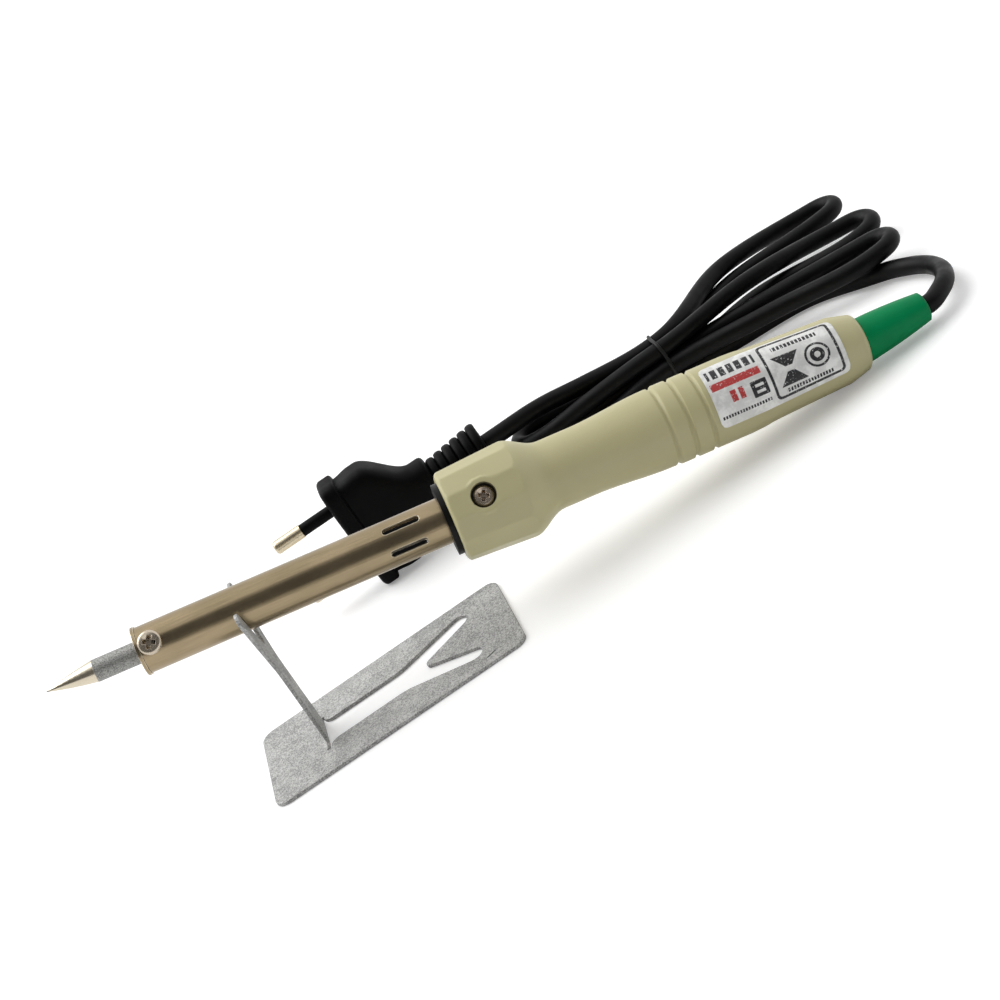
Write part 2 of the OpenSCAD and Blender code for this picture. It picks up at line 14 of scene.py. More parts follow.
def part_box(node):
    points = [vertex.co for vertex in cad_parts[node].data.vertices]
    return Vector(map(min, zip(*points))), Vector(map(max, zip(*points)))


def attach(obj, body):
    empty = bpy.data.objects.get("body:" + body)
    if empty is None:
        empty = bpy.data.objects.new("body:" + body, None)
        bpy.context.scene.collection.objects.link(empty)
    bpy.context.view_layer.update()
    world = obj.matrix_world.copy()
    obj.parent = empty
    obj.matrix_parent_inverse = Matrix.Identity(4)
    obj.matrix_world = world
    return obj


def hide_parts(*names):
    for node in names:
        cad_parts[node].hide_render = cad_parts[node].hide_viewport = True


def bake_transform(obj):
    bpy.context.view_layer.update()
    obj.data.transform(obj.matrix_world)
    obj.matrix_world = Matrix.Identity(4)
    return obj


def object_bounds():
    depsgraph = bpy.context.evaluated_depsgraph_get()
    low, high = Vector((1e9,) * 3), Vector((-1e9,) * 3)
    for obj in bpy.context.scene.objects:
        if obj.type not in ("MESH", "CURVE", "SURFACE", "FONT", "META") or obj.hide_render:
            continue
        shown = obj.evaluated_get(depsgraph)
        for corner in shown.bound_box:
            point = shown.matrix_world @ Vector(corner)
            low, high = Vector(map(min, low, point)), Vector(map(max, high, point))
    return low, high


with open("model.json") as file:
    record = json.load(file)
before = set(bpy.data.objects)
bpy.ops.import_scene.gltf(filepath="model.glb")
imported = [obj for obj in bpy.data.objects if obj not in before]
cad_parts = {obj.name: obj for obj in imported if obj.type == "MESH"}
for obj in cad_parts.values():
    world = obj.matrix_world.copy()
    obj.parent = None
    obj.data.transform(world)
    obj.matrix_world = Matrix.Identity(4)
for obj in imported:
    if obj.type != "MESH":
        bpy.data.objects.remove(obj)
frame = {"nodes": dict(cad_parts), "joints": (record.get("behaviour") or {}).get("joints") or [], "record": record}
cad_low, cad_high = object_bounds()

MM = 0.001
SHEET = 1.0 * MM  # thickness of the stand's sheet
BEND_RADIUS = 1.2 * MM  # of the support's bend, to the middle of the sheet
LEAD = 2.6 * MM  # how far the support's piece reaches back into the plate
RECESS_RADIUS = 3.15 * MM  # hole in the handle for its screw
SKIN_REACH = 20 * MM  # from the iron's axis to a place outside the handle
SKIN_FLOOR = 4 * MM  # radius given to a skin where its node has nothing
WELD = 1e-6  # points closer than this count as one
SHARP = math.radians(35)  # edges sharper than this stay crisp when shaded
SQUARE, OVAL = 5.0, 2.0  # powers of the plug's superelliptic sections
nodes = frame["nodes"]
joints = {joint["name"]: joint for joint in frame["joints"]}


# ---- where things are, read from the frame ----

def points_of(node):
    """A CAD node's vertices as rows of x, y, z."""
    flat = np.zeros(len(nodes[node].data.vertices) * 3)
    nodes[node].data.vertices.foreach_get("co", flat)
    return flat.reshape(-1, 3)


IRON_DIR = -Vector(joints["bit_slide"]["axis"]).normalized()
SCREW_DIR = Vector(joints["clamp_screw_turn"]["axis"]).normalized()
SIDE_DIR = IRON_DIR.cross(SCREW_DIR)
HINGE = Vector(joints["support_fold"]["pos_m"])
# half width of the support where it leaves the plate
ROOT_HALF = max(abs(p[1]) for p in points_of("support_fork") if p[2] < HINGE.z)


def station_of(points):
    """How far points lie along the iron from the point of its tip."""
    return (points - TIP) @ IRON_DIR


TIP = Vector(min(points_of("tip"), key=lambda p: p @ IRON_DIR))


def outward(angle):
    """Unit vector out of the iron's axis; angle 0 is the screws' side."""
    return SCREW_DIR * math.cos(angle) + SIDE_DIR * math.sin(angle)


def on_iron(station, angle, radius):
    return TIP + IRON_DIR * station + outward(angle) * radius


def span_of(node):
    """First and last station of a CAD node that lies on the iron."""
    stations = station_of(points_of(node))
    return float(stations.min()), float(stations.max())


def smooth_step(x, low, high):
    t = np.clip((x - low) / (high - low), 0, 1)
    return t * t * (3 - 2 * t)


def round_angles(count):
    """Evenly spaced angles, once round a circle."""
    return np.linspace(0, 2 * math.pi, count, endpoint=False)


def bell_weights(sigma):
    """Weights of a bell curve, which add up to 1, and how many there are each side."""
    reach = math.ceil(3 * sigma)
    weights = np.exp(-0.5 * (np.arange(-reach, reach + 1) / sigma) ** 2)
    return weights / weights.sum(), reach


# ---- mesh helpers ----

def shade(mesh, sharp=SHARP):
    """Shades a mesh smooth except across its sharp edges."""
    mesh.shade_smooth()
    mesh.set_sharp_from_angle(angle=sharp)


def placed(name, data):
    """A new object in the scene that shows a mesh, a light or a camera."""
    made = bpy.data.objects.new(name, data)
    bpy.context.scene.collection.objects.link(made)
    return made


def new_piece(name, points, faces, slot, material=None, sharp=SHARP):
    """A shaded mesh object in the row frame, with its slot's material unless one is given."""
    mesh = bpy.data.meshes.new(name)
    mesh.from_pydata([tuple(p) for p in points], [], [tuple(f) for f in faces])
    turned = opened(mesh)
    bmesh.ops.recalc_face_normals(turned, faces=turned.faces)
    turned.to_mesh(mesh)
    turned.free()
    shade(mesh, sharp)
    mesh.materials.append(material or MATERIALS[slot])
    piece = placed(name, mesh)
    return piece


def opened(data):
    """An editable copy of a mesh."""
    mesh = bmesh.new()
    mesh.from_mesh(data)
    return mesh


def welded(data):
    """An editable copy of a mesh with its doubled points joined."""
    mesh = opened(data)
    bmesh.ops.remove_doubles(mesh, verts=mesh.verts, dist=WELD)
    mesh.verts.index_update()
    return mesh


def apply_modifiers(piece):
    """Makes a piece's mesh what its modifiers make of it."""
    graph = bpy.context.evaluated_depsgraph_get()
    mesh = bpy.data.meshes.new_from_object(piece.evaluated_get(graph))
    piece.modifiers.clear()
    piece.data = mesh
    shade(mesh)


def thicken(piece, thickness):
    """Gives a flat piece its thickness, half to each side."""
    thick = piece.modifiers.new("thickness", "SOLIDIFY")
    thick.thickness = thickness
    thick.offset = 0
    apply_modifiers(piece)


def round_rims(piece, mesh, width, segments, least_angle, is_rim):
    """Puts an edited mesh back in its piece, its sharp edges rounded where is_rim holds."""
    rims = [edge for edge in mesh.edges
            if len(edge.link_faces) == 2 and edge.calc_face_angle() > least_angle
            and is_rim(edge)]
    bmesh.ops.bevel(mesh, geom=rims, offset=width, segments=segments, affect="EDGES", profile=0.5)
    mesh.to_mesh(piece.data)
    mesh.free()
    shade(piece.data)


def cut_away(piece, cutters, edge_width, is_near_rim):
    """Cuts pieces out of a piece and rounds the rims whose midpoint is_near_rim accepts."""
    for cutter in cutters:
        cut = piece.modifiers.new("cut", "BOOLEAN")
        cut.object = cutter
        cut.solver = "EXACT"
    apply_modifiers(piece)
    for cutter in cutters:
        bpy.data.objects.remove(cutter)

    def is_rim(edge):
        return is_near_rim((edge.verts[0].co + edge.verts[1].co) / 2)

    round_rims(piece, welded(piece.data), edge_width, 2, math.radians(40), is_rim)


def ring_faces(ring_count, sides, closed=True):
    """Quads between rings of the same number of points."""
    steps = sides if closed else sides - 1
    return [(i * sides + k, i * sides + (k + 1) % sides,
             (i + 1) * sides + (k + 1) % sides, (i + 1) * sides + k)
            for i in range(ring_count - 1) for k in range(steps)]


def carried_frames(path):
    """Direction and two cross directions at each point of a path, without twist."""
    path = np.asarray(path, float)
    heading = np.gradient(path, axis=0)
    heading /= np.linalg.norm(heading, axis=1)[:, None]
    across = np.cross(heading[0], (0, 0, 1))
    if np.linalg.norm(across) < 1e-3:
        across = np.cross(heading[0], (0, 1, 0))
    frames = []
    for direction in heading:
        across = across - direction * (across @ direction)
        across /= np.linalg.norm(across)
        frames.append((direction, across, np.cross(direction, across)))
    return frames


def swept_points(path, radii, sides):
    """Rings of a round tube along a path, one radius a point."""
    turns = round_angles(sides)
    rings = []
    for centre, radius, (_, a, b) in zip(path, radii, carried_frames(path)):
        rings.append(centre + radius * (np.outer(np.cos(turns), a) + np.outer(np.sin(turns), b)))
    return np.concatenate(rings)


def tube_centres(node, start, ring_reach):
    """Centre of each ring of a swept CAD tube, walked from the ring round the start point."""
    mesh = welded(nodes[node].data)
    ring = [v for v in mesh.verts if (v.co - start).length < ring_reach]
    seen = set(ring)
    centres = []
    while ring:
        centres.append(np.mean([v.co for v in ring], axis=0))
        step = {e.other_vert(v) for v in ring for e in v.link_edges} - seen
        seen |= step
        ring = sorted(step, key=lambda v: v.index)
    mesh.free()
    return np.array(centres)


def ray_tree(node):
    """Search tree of a CAD node's surface, for casting rays at it."""
    mesh = nodes[node].data
    return BVHTree.FromPolygons([v.co for v in mesh.vertices], [p.vertices for p in mesh.polygons])


def flat_loops(node, normal, height):
    """Closed outlines of a CAD node's flat face at a height along a normal."""
    mesh = welded(nodes[node].data)
    flat = [f for f in mesh.faces
            if f.normal.dot(normal) > 0.999 and abs(f.verts[0].co.dot(normal) - height) < 2e-5]
    members = set(flat)
    next_of = {}
    for face in flat:
        for loop in face.loops:
            shared = [f for f in loop.edge.link_faces if f in members]
            if len(shared) == 1:
                next_of[loop.vert.index] = loop.link_loop_next.vert.index
    place = [v.co.copy() for v in mesh.verts]
    mesh.free()
    loops = []
    while next_of:
        here = next(iter(next_of))
        loop = []
        while here in next_of:
            loop.append(place[here])
            here = next_of.pop(here)
        loops.append(loop)
    return loops


def inside(loop, points):
    """Which 2-D points lie inside a closed outline."""
    x, y = points[:, 0], points[:, 1]
    hit = np.zeros(len(points), bool)
    for (x0, y0), (x1, y1) in zip(loop, np.roll(loop, -1, axis=0)):
        crosses = (y0 > y) != (y1 > y)
        with np.errstate(divide="ignore", invalid="ignore"):
            hit ^= crosses & (x < (x1 - x0) * (y - y0) / (y1 - y0) + x0)
    return hit


def far_from(loop, points, gap):
    """Which 2-D points stay at least a gap away from an outline's corners."""
    distance = np.linalg.norm(points[:, None] - np.asarray(loop)[None], axis=2)
    return distance.min(axis=1) > gap


def in_sheet(loops, points):
    """Which 2-D points lie inside the first outline and outside the others."""
    keep = inside(loops[0], points)
    for hole in loops[1:]:
        keep &= ~inside(hole, points)
    return keep


def filled_outline(loops, spacing):
    """Points and triangles that fill an outline and spare its holes, evenly enough to bend."""
    low, high = loops[0].min(0), loops[0].max(0)
    grid = np.stack(np.meshgrid(np.arange(low[0], high[0], spacing),
                                np.arange(low[1], high[1], spacing)), -1).reshape(-1, 2)
    keep = in_sheet(loops, grid)
    points, edges = [], []
    for loop in loops:
        keep &= far_from(loop, grid, spacing * 0.5)
        first = len(points)
        points.extend(loop)
        edges.extend((first + i, first + (i + 1) % len(loop)) for i in range(len(loop)))
    points.extend(grid[keep])
    made = delaunay_2d_cdt([Vector(p) for p in points], edges, [], 0, 1e-7)
    flat = np.array(made[0])
    triangles = np.array(made[2])
    return flat, triangles[in_sheet(loops, flat[triangles].mean(axis=1))]


def densified(loop, spacing):
    """An outline with points added, so that none are further apart than the spacing."""
    points = []
    for here, there in zip(loop, np.roll(loop, -1, axis=0)):
        parts = max(1, math.ceil(np.linalg.norm(there - here) / spacing))
        points.extend(here + (there - here) * k / parts for k in range(parts))
    return np.array(points)


# ---- material helpers ----

class NodeTree:
    """Short calls that add and link shader nodes."""

    def __init__(self, tree):
        self.tree = tree

    def node(self, kind, sockets=None, **settings):
        made = self.tree.nodes.new("ShaderNode" + kind)
        for key, setting in settings.items():
            setattr(made, key, setting)
        for key, given in (sockets or {}).items():
            self.feed(made.inputs[key], given)
        return made

    def feed(self, socket, given):
        if isinstance(given, bpy.types.NodeSocket):
            self.tree.links.new(given, socket)
        else:
            socket.default_value = given

    def math(self, operation, a, b=0.0, c=0.0):
        made = self.node("Math", operation=operation)
        for socket, given in zip(made.inputs, (a, b, c)):
            self.feed(socket, given)
        return made.outputs[0]

    def times(self, a, b):
        return self.math("MULTIPLY", a, b)

    def without(self, mask, hole):
        """A mask with another mask taken out of it."""
        return self.times(mask, self.math("SUBTRACT", 1.0, hole))

    def shared(self, a, share, b):
        """Average of two values, of which a has the given share."""
        return self.math("MULTIPLY_ADD", a, share, self.times(b, 1 - share))

    def hypot(self, a, b):
        """Length of a flat vector from its two components."""
        return self.math("SQRT", self.math("MULTIPLY_ADD", a, a, self.times(b, b)))

    def step(self, value, low, high, start=0.0, end=1.0):
        """Smooth ramp of a value from start at low to end at high."""
        made = self.node("MapRange", interpolation_type="SMOOTHSTEP", sockets={
            "Value": value, "From Min": low, "From Max": high, "To Min": start, "To Max": end})
        return made.outputs["Result"]

    def within(self, value, low, high, edge):
        """1 where low < value < high, with soft edges."""
        rise = self.step(value, low - edge, low + edge)
        return self.times(rise, self.step(value, high - edge, high + edge, 1.0, 0.0))


class Paint(NodeTree):
    """A new procedural material, its textures and its masks."""

    def __init__(self, name):
        self.material = bpy.data.materials.new(name)
        self.material.use_nodes = True
        super().__init__(self.material.node_tree)
        self.surface = self.tree.nodes["Principled BSDF"]
        self.place = self.node("TexCoord").outputs["Object"]

    def set(self, **given):
        """Feeds the surface's inputs; an underscore in a name stands for a space."""
        for key, value in given.items():
            self.feed(self.surface.inputs[key.replace("_", " ")], value)

    def noise(self, size, detail=3.0, place=None, stretch=(1, 1, 1), roughness=0.5):
        """Noise of about the given feature size in metres, from 0 to 1."""
        scaled = self.node("Mapping", {
            "Vector": place or self.place, "Scale": tuple(1 / (size * s) for s in stretch)})
        made = self.node("TexNoise", {
            "Vector": scaled.outputs[0], "Scale": 1.0, "Detail": detail, "Roughness": roughness})
        return made.outputs["Fac"]

    def mix(self, factor, a, b):
        made = self.node("Mix", data_type="RGBA")
        self.feed(made.inputs["Factor"], factor)
        self.feed(made.inputs[6], a)
        self.feed(made.inputs[7], b)
        return made.outputs[2]

    def tint(self, colour, factor, low, high):
        """A colour made darker or lighter by a factor that runs from 0 to 1."""
        return self.mix(factor, [*(c * low for c in colour), 1], [*(c * high for c in colour), 1])

    def bump(self, height, depth, normal=None):
        made = self.node("Bump", {"Height": height, "Distance": depth, "Strength": 1.0})
        if normal is not None:
            self.feed(made.inputs["Normal"], normal)
        return made.outputs[0]

    def soft_edges(self, radius):
        """Normal that rounds the mesh's sharp edges off when it is shaded."""
        return self.node("Bevel", {"Radius": radius}, samples=6).outputs[0]

    def edge_mask(self, radius):
        """1 near sharp edges; the mask for worn edges, painted edge highlights and painted edge shade."""
        flat = self.node("NewGeometry").outputs["Normal"]
        return self.step(self.dot(flat, self.soft_edges(radius)), 0.995, 0.9)

    def dot(self, a, b):
        return self.node("VectorMath", {0: a, 1: b}, operation="DOT_PRODUCT").outputs["Value"]

    def along(self, direction, origin):
        """Distance of the shaded point from an origin along a direction."""
        offset = self.node("VectorMath", {0: self.place, 1: tuple(origin)},
                           operation="SUBTRACT")
        return self.dot(offset.outputs[0], tuple(direction))

    def iron_place(self):
        """Coordinates along the iron and across it, for texture that runs along the iron."""
        parts = [self.along(way, TIP) for way in (IRON_DIR, SIDE_DIR, SCREW_DIR)]
        return self.node("CombineXYZ", dict(enumerate(parts))).outputs[0]


def metal(name, colour, roughness, grain=0.3 * MM, contrast=0.12, depth=0.003 * MM):
    """Bare or plated metal with fine uneven grain and softened edges, painted brighter for wear and as a painted
    highlight.
    """
    edge = 0.12 * MM
    paint = Paint(name)
    fine = paint.noise(grain, 4.0)
    broad = paint.noise(grain * 14, 2.0)
    shade = paint.shared(broad, 0.5, fine)
    base = paint.tint(colour, shade, 1 - contrast, 1 + contrast)
    # Brighter edge colour: partly wear, partly a painted highlight where edges catch the light.
    edge_wear_and_highlight = paint.mix(paint.edge_mask(edge), base, [*(min(1, c * 1.25) for c in colour), 1])
    paint.set(Base_Color=edge_wear_and_highlight, Metallic=1.0,
              Roughness=paint.step(fine, 0.2, 0.8, roughness * 0.85, roughness * 1.2),
              Normal=paint.bump(fine, depth, paint.soft_edges(edge)))
    return paint.material


def moulded(name, colour, roughness, grain=0.25 * MM, depth=0.02 * MM, contrast=0.15, shine=0.5):
    """Moulded plastic or rubber: fine skin texture, slight cloudiness, soft edges."""
    paint = Paint(name)
    skin = paint.noise(grain, 2.0)
    cloud = paint.noise(6 * MM, 3.0)
    paint.set(Base_Color=paint.tint(colour, cloud, 1 - contrast, 1 + contrast),
              Roughness=paint.step(cloud, 0.3, 0.7, roughness * 0.9, roughness * 1.12),
              Specular_IOR_Level=shine,
              Normal=paint.bump(skin, depth, paint.soft_edges(0.2 * MM)))
    return paint.material


# ---- materials ----

def sheet_steel():
    """Galvanised sheet: matt grey, mottled by its grain, with painted shade along its edges."""
    paint = Paint("sheet_steel")
    grain = paint.noise(0.42 * MM, 5.0, roughness=0.75)
    spangle = paint.noise(5 * MM, 3.0)
    drawn = paint.noise(0.5 * MM, 3.0, stretch=(14, 1, 1))
    mottle = paint.shared(grain, 0.85, spangle)
    base = paint.tint((0.43, 0.43, 0.42), paint.step(mottle, 0.42, 0.58), 0.56, 1.4)
    root = ROOT_HALF + 0.5 * MM
    behind_hinge = paint.along(Vector((1, 0, 0)), HINGE)
    off_middle = paint.along(Vector((0, 1, 0)), HINGE)
    seam = paint.times(paint.within(behind_hinge, -LEAD - 0.6 * MM, -MM, 0.2 * MM),
                       paint.within(off_middle, -root, root, 0.1 * MM))
    # Painted shade: the sheet's edges and cut walls are painted dark, but not along the seam with the support.
    rim = paint.without(paint.edge_mask(0.25 * MM), seam)
    edge_shaded = paint.mix(rim, base, (0.11, 0.11, 0.105, 1))
    scratched = paint.mix(scratch(paint), edge_shaded, (0.03, 0.03, 0.03, 1))
    height = paint.shared(grain, 0.7, drawn)
    paint.set(Base_Color=scratched, Metallic=0.45,
              Roughness=paint.step(grain, 0.25, 0.75, 0.45, 0.62),
              Normal=paint.bump(height, 0.05 * MM, paint.soft_edges(0.12 * MM)))
    return paint.material


def scratch(paint):
    """Mask of one small dark scuff near the plate's rear corner."""
    centre = Vector((27.6, -15.2, 1.0)) * MM
    heading, sideways = Vector((0.92, 0.39, 0)), Vector((-0.39, 0.92, 0))
    half_length, half_width, wander = 1.9 * MM, 0.16 * MM, 0.8 * MM
    long_way = paint.along(heading, centre)
    ragged = paint.math("MULTIPLY_ADD", paint.noise(0.6 * MM, 3.0), 2 * wander, -wander)
    cross_way = paint.math("ADD", paint.along(sideways, centre), ragged)
    length = paint.within(long_way, -half_length, half_length, 0.2 * MM)
    return paint.times(length, paint.within(cross_way, -half_width, half_width, 0.06 * MM))


def barrel_steel():
    """Heat-tinted satin tube with drawing lines along it and bright edges, partly wear and partly painted
    highlight.
    """
    paint = Paint("barrel_steel")
    place = paint.iron_place()
    drawn = paint.noise(0.14 * MM, 2.0, place, (60, 1, 1))
    cloud = paint.noise(6 * MM, 3.0, place, (2, 1, 1))
    speck = paint.noise(0.3 * MM, 3.0, place)
    tinted = paint.mix(paint.step(cloud, 0.35, 0.7), (0.34, 0.27, 0.165, 1), (0.39, 0.305, 0.19, 1))
    # Bright edge colour: partly wear, partly a painted highlight on the barrel's sharp rims.
    edge_wear_and_highlight = paint.mix(paint.edge_mask(0.28 * MM), tinted, (0.85, 0.78, 0.62, 1))
    shade = paint.math("MULTIPLY_ADD", drawn, 0.6, paint.math("MULTIPLY_ADD", speck, 0.2, 0.6))
    base = paint.node("VectorMath", {0: edge_wear_and_highlight, "Scale": shade}, operation="SCALE")
    paint.set(Base_Color=base.outputs[0], Metallic=1.0,
              Roughness=paint.step(cloud, 0.2, 0.8, 0.22, 0.27), Normal=paint.soft_edges(0.15 * MM))
    return paint.material


def bit_metal():
    """Tinned cone with a used dark point, and a dull grained shank behind it."""
    cone_end, burnt_end = 13 * MM, 1.5 * MM
    paint = Paint("bit_metal")
    station = paint.along(IRON_DIR, TIP)
    grain = paint.noise(0.3 * MM, 5.0, roughness=0.7)
    cloud = paint.noise(3 * MM, 3.0)
    ragged = paint.math("MULTIPLY_ADD", cloud, 0.5 * MM, station)
    shank = paint.step(ragged, cone_end, cone_end + 0.35 * MM)
    burnt = paint.step(ragged, 0.5 * MM, burnt_end, 1.0, 0.0)
    tinned = paint.tint((0.76, 0.68, 0.53), cloud, 0.88, 1.08)
    dull = paint.tint((0.35, 0.35, 0.335), paint.step(grain, 0.36, 0.64), 0.5, 1.5)
    base = paint.mix(shank, paint.mix(burnt, tinned, (0.10, 0.09, 0.08, 1)), dull)
    paint.set(Base_Color=base, Metallic=paint.step(shank, 0, 1, 1.0, 0.7),
              Roughness=paint.step(shank, 0, 1, 0.22, 0.55),
              Normal=paint.bump(grain, paint.step(shank, 0, 1, 0.001 * MM, 0.07 * MM)))
    return paint.material


def beige_plastic():
    """Satin moulded handle, slightly cloudy, with a fine skin, and painted shade inside its screw recess."""
    paint = Paint("beige_plastic")
    skin = paint.noise(0.35 * MM, 2.0)
    cloud = paint.noise(16 * MM, 3.0)
    flow = paint.noise(1.5 * MM, 2.0, stretch=(10, 1, 1))
    shade = paint.shared(cloud, 0.7, flow)
    base = paint.mix(shade, (0.50, 0.46, 0.255, 1), (0.56, 0.52, 0.295, 1))
    # Painted shade: the plastic inside the screw recess is painted near black to stand in for the recess's shadow.
    station = float(station_of(points_of("handle_screw")).mean())
    along_iron = paint.math("SUBTRACT", paint.along(IRON_DIR, TIP), station)
    off_axis = paint.hypot(along_iron, paint.along(SIDE_DIR, TIP))
    in_circle = paint.step(off_axis, RECESS_RADIUS - 0.05 * MM, RECESS_RADIUS + 0.1 * MM, 1.0, 0.0)
    screw_side = paint.step(paint.along(SCREW_DIR, TIP), 0.0, MM)
    painted_recess_shade = paint.times(in_circle, screw_side)
    base = paint.mix(painted_recess_shade, base, (0.06, 0.05, 0.03, 1))
    paint.set(Base_Color=base, Roughness=paint.step(cloud, 0.3, 0.7, 0.33, 0.43),
              Specular_IOR_Level=0.38,
              Subsurface_Weight=0.06, Subsurface_Radius=(1.2 * MM, 1.0 * MM, 0.6 * MM),
              Subsurface_Scale=1.0,
              Normal=paint.bump(skin, 0.012 * MM))
    return paint.material


def printed_foil(length, width):
    """Silver label printed with plain bars, wedges, a ring and a frame.

    u and v run over it in metres; the print's layout is given in millimetres.
    """
    paint = Paint("printed_foil")
    uv = paint.node("UVMap").outputs[0]
    split = paint.node("SeparateXYZ", {0: uv})
    u = paint.times(split.outputs[0], length)
    v = paint.times(split.outputs[1], width)

    def band(value, low, high):
        return paint.within(value, low * MM, high * MM, 0.04 * MM)

    def box(u0, u1, v0, v1):
        return paint.times(band(u, u0, u1), band(v, v0, v1))

    def either(*masks):
        total = masks[0]
        for mask in masks[1:]:
            total = paint.math("MAXIMUM", total, mask)
        return total

    def centred(mid_u, mid_v):
        return (paint.math("SUBTRACT", u, mid_u * MM), paint.math("SUBTRACT", v, mid_v * MM))

    def filled(distance, radius):
        return paint.step(distance, (radius - 0.05) * MM, (radius + 0.05) * MM, 1.0, 0.0)

    def disc(mid_u, mid_v, radius):
        return filled(paint.hypot(*centred(mid_u, mid_v)), radius)

    def rounded(u0, u1, v0, v1, radius):
        over = []
        for offset, size in zip(centred((u0 + u1) / 2, (v0 + v1) / 2), (u1 - u0, v1 - v0)):
            flat_part = (size / 2 - radius) * MM
            past = paint.math("SUBTRACT", paint.math("ABSOLUTE", offset), flat_part)
            over.append(paint.math("MAXIMUM", past, 0.0))
        return filled(paint.hypot(*over), radius)

    def row_of_dashes(u0, u1, v0, v1, pitch):
        wave = paint.math("FRACT", paint.math("DIVIDE", u, pitch * MM))
        return paint.times(box(u0, u1, v0, v1), paint.within(wave, 0.12, 0.8, 0.04))

    heading = row_of_dashes(1.0, 13.8, 12.4, 15.2, 2.15)
    slots = either(box(11.0, 13.3, 6.5, 7.2), box(11.0, 13.3, 5.0, 5.7))
    icon = paint.without(rounded(10.0, 14.2, 4.2, 8.1, 0.3), slots)
    small_print = row_of_dashes(0.8, 14.0, 2.2, 3.0, 0.75)
    frame_outside = rounded(15.3, 34.3, 1.1, 16.6, 1.3)
    frame_line = paint.without(frame_outside, rounded(16.0, 33.6, 1.8, 15.9, 0.8))
    eye = (28.6, 8.2)
    ring = paint.without(disc(*eye, 3.3), disc(*eye, 2.7))
    hub = paint.without(disc(*eye, 1.9), disc(*eye, 0.8))
    away, spread = [paint.math("ABSOLUTE", offset) for offset in centred(20.9, 7.7)]
    taper = paint.math("MULTIPLY_ADD", spread, 0.85, 0.35 * MM)
    bow = paint.step(paint.math("SUBTRACT", away, taper), -0.05 * MM, 0.05 * MM, 1.0, 0.0)
    wedges = paint.times(bow, paint.within(spread, 0.7 * MM, 3.9 * MM, 0.05 * MM))
    captions = either(row_of_dashes(18.6, 30.6, 13.3, 14.6, 1.0),
                      row_of_dashes(18.2, 31.0, 2.2, 3.2, 0.8))
    black = either(heading, icon, small_print, frame_line, ring, hub, wedges, captions)
    red = either(box(0.8, 13.8, 9.4, 11.3), row_of_dashes(4.0, 8.2, 5.4, 8.2, 2.2))
    rubbed = paint.step(paint.noise(0.45 * MM, 4.0), 0.27, 0.42)
    dulled = paint.step(paint.noise(3 * MM, 5.0, roughness=0.6), 0.42, 0.62)
    silver = paint.tint((0.93, 0.93, 0.91), dulled, 0.8, 1.0)
    inked = paint.mix(paint.times(red, rubbed), silver, (0.50, 0.045, 0.045, 1))
    inked = paint.mix(paint.times(black, rubbed), inked, (0.018, 0.018, 0.02, 1))
    ink = either(black, red)
    paint.set(Base_Color=inked, Metallic=paint.step(ink, 0.0, 1.0, 0.1, 0.0),
              Roughness=paint.step(ink, 0.0, 1.0, 0.38, 0.5),
              Normal=paint.bump(paint.noise(0.6 * MM, 3.0), 0.01 * MM))
    return paint.material


def cord_vinyl():
    """Black flex: satin skin with faint lengthwise waviness and dusty scuffs."""
    paint = Paint("cord_vinyl")
    skin = paint.noise(0.3 * MM, 2.0)
    wave = paint.noise(4 * MM, 2.0)
    scuff = paint.step(paint.noise(1.2 * MM, 5.0, roughness=0.7), 0.62, 0.75)
    base = paint.mix(scuff, (0.003, 0.003, 0.0033, 1), (0.008, 0.008, 0.0085, 1))
    height = paint.math("MULTIPLY_ADD", wave, 6.0, skin)
    paint.set(Base_Color=base, Roughness=paint.step(wave, 0.3, 0.7, 0.36, 0.5),
              Specular_IOR_Level=0.15, Normal=paint.bump(height, 0.015 * MM))
    return paint.material


MATERIALS = {
    "galvanised_steel": sheet_steel(),
    "plated_bit": bit_metal(),
    "nickel_screw": metal("bright_nickel", (0.62, 0.54, 0.43), 0.26),
    "tinted_steel": barrel_steel(),
    "heater_steel": metal("heater_steel", (0.30, 0.29, 0.30), 0.4),
    "mica": moulded("mica_flake", (0.45, 0.38, 0.24), 0.3, 0.8 * MM),
    "resistance_wire": metal("resistance_wire", (0.22, 0.20, 0.19), 0.5),
    "ceramic": moulded("unglazed_ceramic", (0.78, 0.74, 0.66), 0.7, 0.2 * MM),
    "nickel_lead": metal("nickel_lead", (0.62, 0.62, 0.61), 0.25),
    "glass_sleeving": moulded("glass_sleeving", (0.70, 0.67, 0.58), 0.8, 0.4 * MM, 0.08 * MM),
    "black_phenolic": moulded("black_phenolic", (0.003, 0.003, 0.003), 0.42, shine=0.2),
    "beige_plastic": beige_plastic(),
    "brass_screw": metal("brassy_screw", (0.68, 0.57, 0.46), 0.24),
    "core_plastic": moulded("core_plastic", (0.10, 0.035, 0.015), 0.45),
    "green_rubber": moulded("green_rubber", (0.0, 0.24, 0.08), 0.4, contrast=0.12, shine=0.12),
    "black_cord": cord_vinyl(),
    "black_tie": moulded("tie_vinyl", (0.005, 0.005, 0.005), 0.4, shine=0.3),
    "black_plug": moulded("black_moulding", (0.0015, 0.0015, 0.0017), 0.5, 0.3 * MM, 0.03 * MM,
                          shine=0.09),
    "ceramic_plastic": moulded("bridge_plastic", (0.72, 0.69, 0.60), 0.5),
    "nickel_brass": metal("nickel_brass", (0.70, 0.61, 0.44), 0.28),
}


def paint_cad_nodes():
    """Gives each carried-over CAD node the material of its record slot, where this script makes one."""
    slots = {part["node"]: part["material_slot"] for part in frame["record"]["subparts"]}
    for node, piece in nodes.items():
        material = MATERIALS.get(slots[node])
        if material:
            piece.data.materials.clear()
            piece.data.materials.append(material)


# ---- the sheet-metal stand ----

